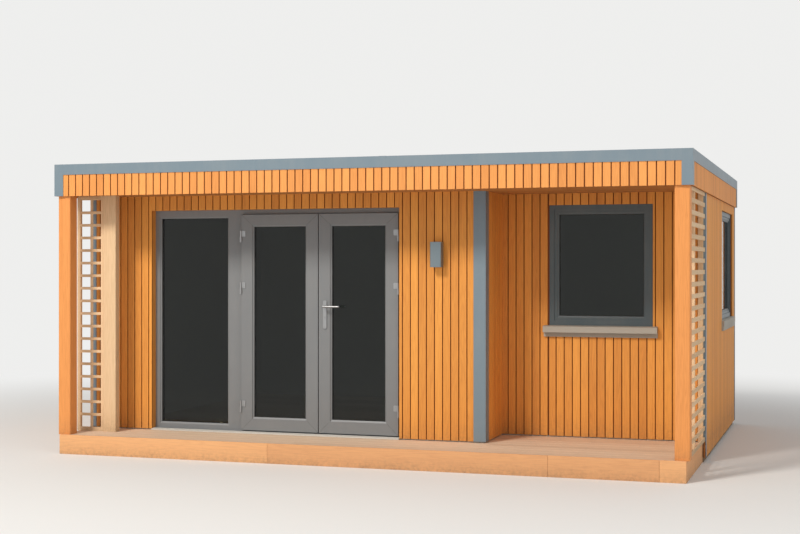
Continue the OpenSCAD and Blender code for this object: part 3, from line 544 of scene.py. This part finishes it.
def makeCladding():
    dice = random.Random(cladding["seed"])
    p = place
    foot, head = p["cladLow"], p["soffitZ"]
    sill, lintel = p["windowLow"] - sillTongue, p["windowHigh"]

    bm = newMesh()
    x0, x1 = p["doorX0"] + p["panelX"], p["doorX1"] + p["panelX"]
    addBoards(bm, cladding, Vector((-p["panelX"], p["panelFront"], 0)), axisX, -axisY, axisZ,
              [(0, x0, foot, head), (x0, x1, p["doorTop"], head),
               (x1, p["bayX"] + p["panelX"], foot, head)], dice)
    for low, high in (((p["doorX0"] - lap, foot), (p["doorX0"], p["doorTop"] + lap)),
                      ((p["doorX1"], foot), (p["doorX1"] + lap, p["doorTop"] + lap)),
                      ((p["doorX0"], p["doorTop"]), (p["doorX1"], p["doorTop"] + lap))):
        addBar(bm, (low[0], p["panelFront"], low[1]), (high[0], p["frameY"], high[1]), runZ, 0, dice)
    linkPiece("frontBoards", bm, "claddingCedar", ["front_cladding"])

    bm = newMesh()
    addBoards(bm, cladding, Vector((p["panelReturn"], p["panelFront"], 0)), axisY, axisX, axisZ,
              [(0, p["bayY"] - p["panelFront"], foot, head)], dice)
    linkPiece("returnBoards", bm, "claddingCedar", ["return_cladding"])

    bm = newMesh()
    x0, x1 = p["bayWindowX0"] - p["panelReturn"], p["bayWindowX1"] - p["panelReturn"]
    addBoards(bm, cladding, Vector((p["panelReturn"], p["panelBay"], 0)), axisX, -axisY, axisZ,
              [(0, x0, foot, head), (x0, x1, foot, sill), (x0, x1, lintel, head),
               (x1, p["panelX"] - p["panelReturn"], foot, head)], dice)
    linkPiece("bayBoards", bm, "claddingCedar", ["bay_cladding"])

    foot, head = p["cladFoot"], p["wallTop"]
    bm = newMesh()
    addBoards(bm, cladding, Vector((-p["panelX"], p["frontY"], 0)), axisY, -axisX, axisZ,
              [(0, p["wallY"] - p["frontY"], foot, head)], dice)
    linkPiece("leftBoards", bm, "claddingCedar", ["left_cladding"])

    bm = newMesh()
    y0, y1 = p["endWindowY0"] - p["bayY"], p["endWindowY1"] - p["bayY"]
    addBoards(bm, cladding, Vector((p["panelX"], p["bayY"], 0)), axisY, axisX, axisZ,
              [(0, y0, foot, head), (y0, y1, foot, sill), (y0, y1, lintel, head),
               (y1, p["wallY"] - p["bayY"], foot, head)], dice)
    linkPiece("rightBoards", bm, "claddingCedar", ["right_cladding"])

    bm = newMesh()
    addBoards(bm, cladding, Vector((-p["panelX"], p["panelBack"], 0)), axisX, axisY, axisZ,
              [(0, 2 * p["panelX"], foot, head)], dice)
    linkPiece("backBoards", bm, "claddingCedar", ["back_cladding"])
    print("cladding made")


fasciaBoards = dict(cladding, seed=23, pitch=0.068, gap=0.009)


def makeFascia():
    dice = random.Random(fasciaBoards["seed"])
    p = place
    low, high = p["eavesZ"], p["fasciaTop"]
    bm = newMesh()
    for side in (-1, 1):
        addBoards(bm, fasciaBoards, Vector((-p["fasciaX"], side * p["wallY"], 0)), axisX, axisY * side, axisZ,
                  [(0, 2 * p["fasciaX"], low, high)], dice)
        addBoards(bm, fasciaBoards, Vector((side * p["wallX"], -p["wallY"], 0)), axisY, axisX * side, axisZ,
                  [(0, 2 * p["wallY"], low, high)], dice)
    linkPiece("fasciaBoards", bm, "fasciaCedar", ["fascia"])
    print("fascia made")


soffitBoards = {"pitch": 0.095, "gap": 0.007, "thick": 0.018, "tongue": 0.008, "bevel": 0.0015, "seed": 31}


def makeSoffit():
    dice = random.Random(soffitBoards["seed"])
    p = place
    bm = newMesh()
    porch, bay = p["panelFront"] + p["wallY"], p["panelBay"] + p["wallY"]
    addBoards(bm, soffitBoards, Vector((0, -p["wallY"], p["wallTop"])), axisY, -axisZ, axisX,
              [(0, porch, -p["wallX"], p["wallX"]), (porch, bay, p["panelReturn"], p["panelX"])], dice)
    linkPiece("soffitBoards", bm, "shadedSoffitCedar", ["soffit"])
    print("soffit made")


deck = {"rows": 4, "gap": 0.006, "thick": 0.028, "bevel": 0.0012, "edgeThick": 0.020, "butt": 0.001,
        "joints": (-0.53, 1.02), "shortest": 0.3, "narrowest": 0.004, "edgeJoints": (-0.72, 1.62, 2.47),
        "joistSpacing": 0.40, "screwR": 0.0038, "screwIn": 0.028, "screwBite": 0.002, "screwHigh": 0.0024,
        "screwSides": 8, "seed": 41}


def makeDeck():
    dice = random.Random(deck["seed"])
    p = place
    edge, ease, top, butt = deck["edgeThick"], deck["bevel"], p["deckZ"], deck["butt"]
    front, endX = p["deckFront"] + edge, p["deckX"] - edge
    pitch = (p["panelFront"] - front) / deck["rows"]
    bm, screws = newMesh(), newMesh()
    for row in range(math.ceil((p["panelBay"] - deck["narrowest"] - front) / pitch)):
        y0 = front + row * pitch
        y1 = min(y0 + pitch - deck["gap"], p["panelBay"])
        startX = -endX if row < deck["rows"] else p["panelReturn"]
        joint = deck["joints"][row % 2]
        cuts = [startX, joint, endX] if joint > startX + deck["shortest"] else [startX, endX]
        for left, right in zip(cuts, cuts[1:]):
            addBar(bm, (left + butt, y0, top - deck["thick"]), (right - butt, y1, top), runX, ease, dice)
        bays = round((endX - startX) / deck["joistSpacing"])
        for step in range(bays + 1):
            x = startX + deck["screwIn"] + step * (endX - startX - 2 * deck["screwIn"]) / bays
            for y in (y0 + deck["screwIn"], y1 - deck["screwIn"]):
                if y1 - y0 > 2 * deck["screwIn"]:
                    addDisc(screws, Vector((x, y, top - deck["screwBite"])), axisZ, deck["screwR"],
                            deck["screwHigh"], deck["screwSides"])
    linkPiece("deckPlanks", bm, "deckTop", ["deck_boards"])
    linkPiece("deckScrews", screws, "fittingSteel")

    bm = newMesh()
    ends = (-p["deckX"],) + deck["edgeJoints"] + (p["deckX"],)
    for left, right in zip(ends, ends[1:]):
        addBar(bm, (left + butt, p["deckFront"], 0), (right - butt, front, top), runX, ease, dice)
    for side, back in ((-1, p["panelFront"]), (1, p["panelBay"])):
        near, far = sorted((side * endX, side * p["deckX"]))
        addBar(bm, (near, front, 0), (far, back, top), runY, ease, dice)
    linkPiece("deckEdgeBoards", bm, "deckFront", ["deck_edge"])
    print("deck made")


# The first plank of a row keeps firstShare of its length and up to firstSpread more
roomPlanks = {"wide": 0.190, "long": 1.38, "thick": 0.014, "gap": 0.0012, "ease": 0.0015,
              "firstShare": 0.35, "firstSpread": 0.6, "shortest": 0.01, "seed": 57}


def makeRoomFloor():
    dice = random.Random(roomPlanks["seed"])
    p = place
    low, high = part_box("floor")
    laid = high.z - roomPlanks["thick"]
    bm = newMesh()
    addBar(bm, (low.x, low.y, low.z), (p["roomReturn"], p["roomBay"], laid), runX, 0)
    addBar(bm, (low.x, p["roomBay"], low.z), (high.x, high.y, laid), runX, 0)
    for row in range(math.ceil((high.y - low.y) / roomPlanks["wide"])):
        y0 = low.y + row * roomPlanks["wide"]
        y1 = min(y0 + roomPlanks["wide"] - roomPlanks["gap"], high.y)
        endX = high.x if y0 >= p["roomBay"] else p["roomReturn"]
        x0 = low.x
        x1 = x0 + roomPlanks["long"] * (roomPlanks["firstShare"] + roomPlanks["firstSpread"] * dice.random())
        while x0 < endX - roomPlanks["shortest"]:
            x1 = min(x1, endX)
            addBar(bm, (x0, y0, laid), (x1 - roomPlanks["gap"], y1, high.z), runX, roomPlanks["ease"], dice)
            x0, x1 = x1, x1 + roomPlanks["long"]
    linkPiece("floorPlanks", bm, "roomFloor", ["floor"])
    print("room floor made")


endScreen = {"pitch": 0.092, "high": 0.036, "thick": 0.012, "uprightGap": 0.365, "upright": 0.035,
             "ease": 0.002, "nailR": 0.003, "nailHigh": 0.0012, "nailSides": 8, "seed": 63}
climberScreen = {"pitch": 0.110, "slat": 0.024, "thick": 0.012, "frame": 0.034, "ease": 0.0015, "seed": 67}


def makeScreens():
    dice = random.Random(endScreen["seed"])
    s, ease = endScreen, endScreen["ease"]
    low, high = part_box("right_trellis")
    slatX = high.x - s["thick"]
    uprights = (low.y, low.y + s["uprightGap"], high.y - s["upright"])
    bm, nails = newMesh(), newMesh()
    for y in uprights:
        addBar(bm, (low.x, y, low.z), (slatX, y + s["upright"], high.z), runZ, ease, dice)
    linkPiece("screenUprights", bm, "trellisTimber", ["right_trellis"])
    bm = newMesh()
    for step in range(int((high.z - place["cladLow"] - s["high"]) / s["pitch"]) + 1):
        z = place["cladLow"] + step * s["pitch"]
        addBar(bm, (slatX, low.y, z), (high.x, high.y, z + s["high"]), runY, ease, dice)
        for y in uprights:
            head = Vector((high.x - s["nailHigh"] / 2, y + s["upright"] / 2, z + s["high"] / 2))
            addDisc(nails, head, axisX, s["nailR"], s["nailHigh"], s["nailSides"])
    linkPiece("screenSlats", bm, "levelTimber", ["right_trellis"])
    linkPiece("screenNails", nails, "fittingSteel")

    dice = random.Random(climberScreen["seed"])
    s, ease = climberScreen, climberScreen["ease"]
    low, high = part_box("climber_trellis")
    f, half = s["frame"], s["slat"] / 2
    middle = (low.y + high.y) / 2
    bm, levels = newMesh(), newMesh()
    x0, x1, z0, z1 = low.x + f, high.x - f, low.z + f, high.z - f
    back, front = middle + s["thick"], middle - s["thick"]
    for x in (low.x, x1):
        addBar(bm, (x, low.y, low.z), (x + f, high.y, high.z), runZ, ease, dice)
    across, up = round((x1 - x0) / s["pitch"]), round((z1 - z0) / s["pitch"])
    for step in range(1, across):
        x = x0 + step * (x1 - x0) / across
        addBar(bm, (x - half, middle, z0), (x + half, back, z1), runZ, ease, dice)
    for z in (low.z, z1):
        addBar(levels, (x0, low.y, z), (x1, high.y, z + f), runX, ease, dice)
    for step in range(1, up):
        z = z0 + step * (z1 - z0) / up
        addBar(levels, (x0, front, z - half), (x1, middle, z + half), runX, ease, dice)
    linkPiece("trellisUprights", bm, "trellisTimber", ["climber_trellis"])
    linkPiece("trellisSlats", levels, "levelTimber", ["climber_trellis"])
    print("screens made")


gasket = {"width": 0.005, "depth": 0.003, "off": 0.0002}
mitre = {"width": 0.0012, "depth": 0.0003, "bead": 0.014}


def addMitres(bm, corner, across, up, out, outer, inner):
    # Dark hairlines at the corners of a frame, painted shade in its mitre joints; outer and inner are (from,
    # to) across and (from, to) up
    for s, t in ((0, 0), (1, 0), (1, 1), (0, 1)):
        start = corner + across * outer[s] + up * outer[2 + t]
        end = corner + across * inner[s] + up * inner[2 + t]
        side = (end - start).cross(out).normalized() * mitre["width"] / 2
        addPrism(bm, [start - side, end - side, end + side, start + side], out * mitre["depth"])


def makeGlazingTrim():
    # Each row: a glass, the body it moves with, and its piece's name
    for glass, body, name in (("side_glass", "building", "sideGasket"),
                              ("left_door_glass", "left_door", "leftDoorGasket"),
                              ("right_door_glass", "right_door", "rightDoorGasket"),
                              ("bay_window_glass", "building", "bayWindowGasket"),
                              ("end_window_glass", "building", "endWindowGasket")):
        low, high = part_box(glass)
        end = high.x - low.x < high.y - low.y  # the end window faces +X, the others -Y
        across, out = (axisY, axisX) if end else (axisX, -axisY)
        wide = (high.y - low.y if end else high.x - low.x) - 2 * glassBite
        size = (wide, high.z - low.z - 2 * glassBite)
        bm = newMesh()
        for face, way in (((high.x if end else low.y), 1), ((low.x if end else high.y), -1)):
            corner = Vector((face, low.y, low.z)) if end else Vector((low.x, face, low.z))
            corner += (across + axisZ) * glassBite + out * way * gasket["off"]
            addRing(bm, corner, across, axisZ, out * way * gasket["depth"], size, gasket["width"])
        linkPiece(name, bm, "rubberAndPaintedShade", body=body)

    # Painted shade: dark hairlines in the mitre joints of each leaf
    inset = glassBite - mitre["bead"]
    for leaf, glass, name in (("left_door", "left_door_glass", "leftDoorMitreShade"),
                              ("right_door", "right_door_glass", "rightDoorMitreShade")):
        low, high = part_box(leaf)
        glassLow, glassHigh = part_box(glass)
        bm = newMesh()
        addMitres(bm, Vector((0, low.y, 0)), axisX, axisZ, -axisY, (low.x, high.x, low.z, high.z),
                  (glassLow.x + inset, glassHigh.x - inset, glassLow.z + inset, glassHigh.z - inset))
        linkPiece(name, bm, "rubberAndPaintedShade", body=leaf)
    print("glazing trim made")


threshold = {"thick": 0.0015, "lip": 0.007, "back": 0.034, "ribs": 3, "ribStart": 0.0084, "ribSpacing": 0.012,
             "ribWide": 0.004, "ribHigh": 0.001, "sillFront": 0.008, "sillRise": 0.020}


def makeThreshold():
    # A metal cap on the front of the door set's sloping sill, with ribs along it
    p, t = place, threshold
    low = lowOf("door_frame", "y")
    top = p["deckZ"] + t["sillFront"]
    slope = (t["sillRise"] - t["sillFront"]) / (p["frameY"] - low)
    backY = p["frontY"] + t["back"]
    backZ, frontY, frontZ = top + slope * (backY - low), low - t["thick"], top - t["lip"]
    bm = newMesh()
    profile = [(low, frontZ), (frontY, frontZ), (frontY, top + t["thick"]), (backY, backZ + t["thick"]),
               (backY, backZ), (low, top)]
    run = axisX * (p["doorX1"] - p["doorX0"])
    addPrism(bm, [Vector((p["doorX0"], y, z)) for y, z in profile], run)
    for rib in range(t["ribs"]):
        y = low + t["ribStart"] + rib * t["ribSpacing"]
        z = top + slope * (y - low) + t["thick"]
        foot, crest = t["ribWide"] / 2, t["ribWide"] / 4
        addPrism(bm, [Vector((p["doorX0"], y + dy, z + dz)) for dy, dz in
                      ((-foot, 0), (foot, 0), (crest, t["ribHigh"]), (-crest, t["ribHigh"]))], run)
    linkPiece("thresholdCap", bm, "thresholdMetal")
    print("threshold made")


fittings = {"hingeLow": 0.206, "hingeHigh": 0.190, "hingePair": 0.450, "hingeOut": 0.0025,
            "plateProud": 0.005, "screwX": 0.027, "screwUp": (0.014, 0.036), "screwR": 0.0034,
            "screwHigh": 0.0009, "screwSides": 12, "socketR": 0.0015, "socketSides": 6, "shadeHigh": 0.0002,
            "handlePlate": 0.008, "handleHalf": 0.016, "screwInset": 0.014, "lockUp": 0.097,
            "lockCover": 0.0045, "lockR": 0.0065, "lockHigh": 0.0006, "lockSides": 16,
            "keyHalf": (0.0008, 0.004)}


def addScrew(heads, holeShade, centre, facing):
    f = fittings
    addDisc(heads, centre, facing, f["screwR"], f["screwHigh"], f["screwSides"])
    # A dark disc on the head: painted shade in its socket
    addDisc(holeShade, centre + facing * f["screwHigh"], facing, f["socketR"], f["shadeHigh"], f["socketSides"])


def makeFittings():
    f = fittings
    for leaf, side in (("left_door", 1), ("right_door", -1)):
        low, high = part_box(leaf)
        hingeX = (low.x if side > 0 else high.x) - side * f["hingeOut"]
        heads, holeShade = newMesh(), newMesh()
        x, face, upper = hingeX + side * f["screwX"], low.y - f["plateProud"], high.z - f["hingeHigh"]
        for z in (low.z + f["hingeLow"], upper - f["hingePair"], upper):
            for up in f["screwUp"]:
                addScrew(heads, holeShade, Vector((x, face, z + up)), -axisY)
        if side < 0:
            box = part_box("door_handle")
            x = box[0].x + f["handleHalf"]
            for face, facing in ((low.y, -axisY), (high.y, axisY)):
                plate = face + facing.y * f["handlePlate"]
                for z in (box[0].z + f["screwInset"], box[1].z - f["screwInset"]):
                    addScrew(heads, holeShade, Vector((x, plate, z)), facing)
                lock = Vector((x, plate + facing.y * f["lockCover"], box[0].z + f["lockUp"]))
                addDisc(heads, lock, facing, f["lockR"], f["lockHigh"], f["lockSides"])
                lock += facing * f["lockHigh"]
                wide, tall = f["keyHalf"]
                # A dark slot: painted shade in the keyhole
                keyhole = [lock + axisX * dx + axisZ * dz for dx, dz in
                           ((-wide, -tall), (wide, -tall), (wide, tall), (-wide, tall))]
                addPrism(holeShade, keyhole, facing * f["shadeHigh"])
        linkPiece(leaf.split("_")[0] + "DoorScrews", heads, "fittingSteel", body=leaf)
        linkPiece(leaf.split("_")[0] + "DoorHoleShade", holeShade, "rubberAndPaintedShade", body=leaf)
    print("fittings made")


roofTrim = {"length": 3.0, "strap": 0.060, "proud": 0.0010, "top": 0.065, "fold": 0.025, "seams": 3,
            "seamWide": 0.050, "seamHigh": 0.0014, "seamEase": 0.001, "sheet": 0.004, "upstand": 0.003}


def makeRoofTrim():
    p, t = place, roofTrim
    bm = newMesh()
    drop, proud = p["edgeLow"] - p["roofTop"], t["proud"]
    profile = [(0, drop), (proud, drop), (proud, proud), (-t["top"], proud), (-t["top"], 0), (0, 0)]
    x = -p["roofX"] + t["length"] - t["strap"] / 2
    y = -p["roofY"] + t["length"] - t["strap"] / 2
    for side in (-1, 1):
        for run in (axisX, axisY):
            outline = []
            for out, up in profile:
                point = (x, side * (p["roofY"] + out)) if run is axisX else (side * (p["roofX"] + out), y)
                outline.append(Vector(point + (p["roofTop"] + up,)))
            addPrism(bm, outline, run * t["strap"])
    linkPiece("edgeStraps", bm, "trimMetal")

    # The covering's seams, and the strips of it that turn up against the kerbs under the metal fold
    low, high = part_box("roof_membrane")
    backZ, foldZ, thick = low.z + t["sheet"], p["roofTop"] - t["fold"], t["upstand"]
    run = Vector((0, high.y - low.y, backZ - high.z))
    bm = newMesh()
    for seam in range(1, t["seams"] + 1):
        x = low.x + seam * (high.x - low.x) / (t["seams"] + 1)
        wide, tall = t["seamWide"], t["seamHigh"]
        corners = ((0, 0), (wide, 0), (wide - t["seamEase"], tall), (t["seamEase"], tall))
        addPrism(bm, [Vector((x + dx, low.y, high.z + dz)) for dx, dz in corners], run)
    linkPiece("roofSeams", bm, "covering")

    bm = newMesh()
    for x in (low.x, high.x - thick):
        addPrism(bm, [Vector((x, y, z)) for y, z in
                      ((low.y, high.z), (high.y, backZ), (high.y, foldZ), (low.y, foldZ))], axisX * thick)
    for y, z in ((low.y, high.z), (high.y - thick, backZ)):
        addBar(bm, (low.x + thick, y, z), (high.x - thick, y + thick, foldZ), runX, 0)
    linkPiece("roofUpstands", bm, "covering")
    print("roof trim made")


lamp = {"plate": 0.008, "rim": 0.0062, "corner": 0.006, "inset": 0.0022, "thick": 0.0033, "arc": 4}


def makeLampLenses():
    low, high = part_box("wall_light")
    x0, x1 = low.x + lamp["rim"], high.x - lamp["rim"]
    y0, y1 = low.y + lamp["rim"], high.y - lamp["plate"] - lamp["rim"]
    r = lamp["corner"]
    outline = []
    for turn, (cx, cy) in enumerate(((x1 - r, y1 - r), (x0 + r, y1 - r), (x0 + r, y0 + r), (x1 - r, y0 + r))):
        for step in range(lamp["arc"] + 1):
            angle = (turn + step / lamp["arc"]) * math.pi / 2
            outline.append((cx + r * math.cos(angle), cy + r * math.sin(angle)))
    bm = newMesh()
    for z in (low.z + lamp["inset"], high.z - lamp["inset"] - lamp["thick"]):
        addPrism(bm, [Vector((x, y, z)) for x, y in outline], axisZ * lamp["thick"])
    linkPiece("lampLenses", bm, "lampLens")
    print("lamp lenses made")


makeCladding()
makeFascia()
makeSoffit()
makeDeck()
makeRoomFloor()
makeScreens()
makeGlazingTrim()
makeThreshold()
makeFittings()
makeRoofTrim()
makeLampLenses()


# Finishes of the nodes that keep their own shape
nodeFinish = {
    "framingTimber": "floor_cassette deck_frame roof_panel",
    "lining": "ceiling left_wall right_wall back_wall front_wall_left front_wall_right front_wall_head"
              " return_wall bay_wall",
    "trimMetal": "bay_corner_trim outer_corner_trims fascia_corner_trims roof_edge",
    "framePaint": "door_frame left_door right_door",
    "windowPaint": "bay_window_frame end_window_frame",
    "glazing": "side_glass left_door_glass right_door_glass bay_window_glass end_window_glass",
    "fittingSteel": "frame_hinges left_door_hinges right_door_hinges door_handle",
    "sillPaint": "bay_window_sill end_window_sill",
    "lightMetal": "wall_light",
    "postCedar": "left_post right_post",
    "palePost": "trellis_post",
    "covering": "roof_membrane",
}
for finish, names in nodeFinish.items():
    for name in names.split():
        nodes[name].data.materials.clear()
        nodes[name].data.materials.append(finishes[finish])
print("node finishes set")


# The floor fades into the backdrop's colour from fadeNear to fadeFar
studio = {"floorColour": (0.80, 0.79, 0.77), "floorRough": 0.9, "floorSpecular": 0.1, "floorHalf": 60,
          "backColour": (0.86, 0.86, 0.85), "fadeNear": 3.8, "fadeFar": 9.5,
          "skyLevel": 0.50, "skyColour": (0.98, 0.99, 1.0), "aim": (0.3, -1.0, 1.2),
          "keyPower": 2000.0, "keySize": 3.0, "keyPlace": (-4.7, -13.7, 12.6), "keyColour": (1.0, 0.96, 0.90),
          "fillPower": 130.0, "fillSize": 7.0, "fillPlace": (9.0, -9.0, 5.0), "fillColour": (1.0, 1.0, 1.0),
          "cameraPlace": (3.830, -12.509, 1.614), "cameraTurn": 18.1, "cameraLens": 62.0,
          "cameraSensor": 36.0, "cameraReach": 200}


def seenRays(tree):
    path = tree.nodes.new("ShaderNodeLightPath")
    seen = mathNode(tree, "MAXIMUM", path.outputs["Is Camera Ray"], path.outputs["Is Transmission Ray"])
    return mathNode(tree, "MAXIMUM", seen, path.outputs["Is Glossy Ray"])


def makeFloor():
    bm = bmesh.new()
    bmesh.ops.create_grid(bm, x_segments=1, y_segments=1, size=studio["floorHalf"])
    mesh = bpy.data.meshes.new("studioFloor")
    bm.to_mesh(mesh)
    bm.free()
    floor = bpy.data.objects.new("studioFloor", mesh)
    bpy.context.collection.objects.link(floor)
    material, tree, shader, position = startMaterial("studioFloor")
    shader.inputs["Base Color"].default_value = studio["floorColour"] + (1.0,)
    shader.inputs["Roughness"].default_value = studio["floorRough"]
    shader.inputs["Specular IOR Level"].default_value = studio["floorSpecular"]
    away = tree.nodes.new("ShaderNodeVectorMath")
    away.operation = "LENGTH"
    tree.links.new(position, away.inputs[0])
    fade = rampNode(tree, away.outputs["Value"], studio["fadeNear"], studio["fadeFar"])
    haze = tree.nodes.new("ShaderNodeEmission")
    haze.inputs["Color"].default_value = studio["backColour"] + (1.0,)
    pick = tree.nodes.new("ShaderNodeMixShader")
    tree.links.new(mathNode(tree, "MULTIPLY", fade, seenRays(tree)), pick.inputs[0])
    tree.links.new(shader.outputs[0], pick.inputs[1])
    tree.links.new(haze.outputs[0], pick.inputs[2])
    tree.links.new(pick.outputs[0], tree.nodes["Material Output"].inputs["Surface"])
    mesh.materials.append(material)


def makeWorld():
    world = bpy.data.worlds.new("studio")
    bpy.context.scene.world = world
    world.use_nodes = True
    tree = world.node_tree
    tree.nodes.clear()
    output = tree.nodes.new("ShaderNodeOutputWorld")
    sky = tree.nodes.new("ShaderNodeBackground")
    sky.inputs["Color"].default_value = studio["skyColour"] + (1.0,)
    sky.inputs["Strength"].default_value = studio["skyLevel"]
    back = tree.nodes.new("ShaderNodeBackground")
    back.inputs["Color"].default_value = studio["backColour"] + (1.0,)
    back.inputs["Strength"].default_value = 1.0
    pick = tree.nodes.new("ShaderNodeMixShader")
    tree.links.new(seenRays(tree), pick.inputs[0])
    tree.links.new(sky.outputs[0], pick.inputs[1])
    tree.links.new(back.outputs[0], pick.inputs[2])
    tree.links.new(pick.outputs[0], output.inputs["Surface"])


def makeLamps():
    for name in ("key", "fill"):
        light = bpy.data.lights.new(name, "AREA")
        light.energy = studio[name + "Power"]
        light.size = studio[name + "Size"]
        light.color = studio[name + "Colour"]
        holder = bpy.data.objects.new(name, light)
        holder.location = studio[name + "Place"]
        aim = Vector(studio["aim"]) - holder.location
        holder.rotation_mode = "QUATERNION"
        holder.rotation_quaternion = aim.to_track_quat("-Z", "Y")
        bpy.context.collection.objects.link(holder)


def makeCamera():
    camera = bpy.data.objects.new("camera", bpy.data.cameras.new("camera"))
    camera.data.sensor_width = studio["cameraSensor"]
    camera.data.lens = studio["cameraLens"]
    camera.location = studio["cameraPlace"]
    camera.rotation_euler = (math.radians(90), 0, math.radians(studio["cameraTurn"]))
    camera.data.clip_end = studio["cameraReach"]
    bpy.context.collection.objects.link(camera)
    bpy.context.scene.camera = camera
    bpy.context.scene.view_settings.view_transform = "Standard"


makeFloor()
makeWorld()
makeLamps()
makeCamera()
print("studio made")
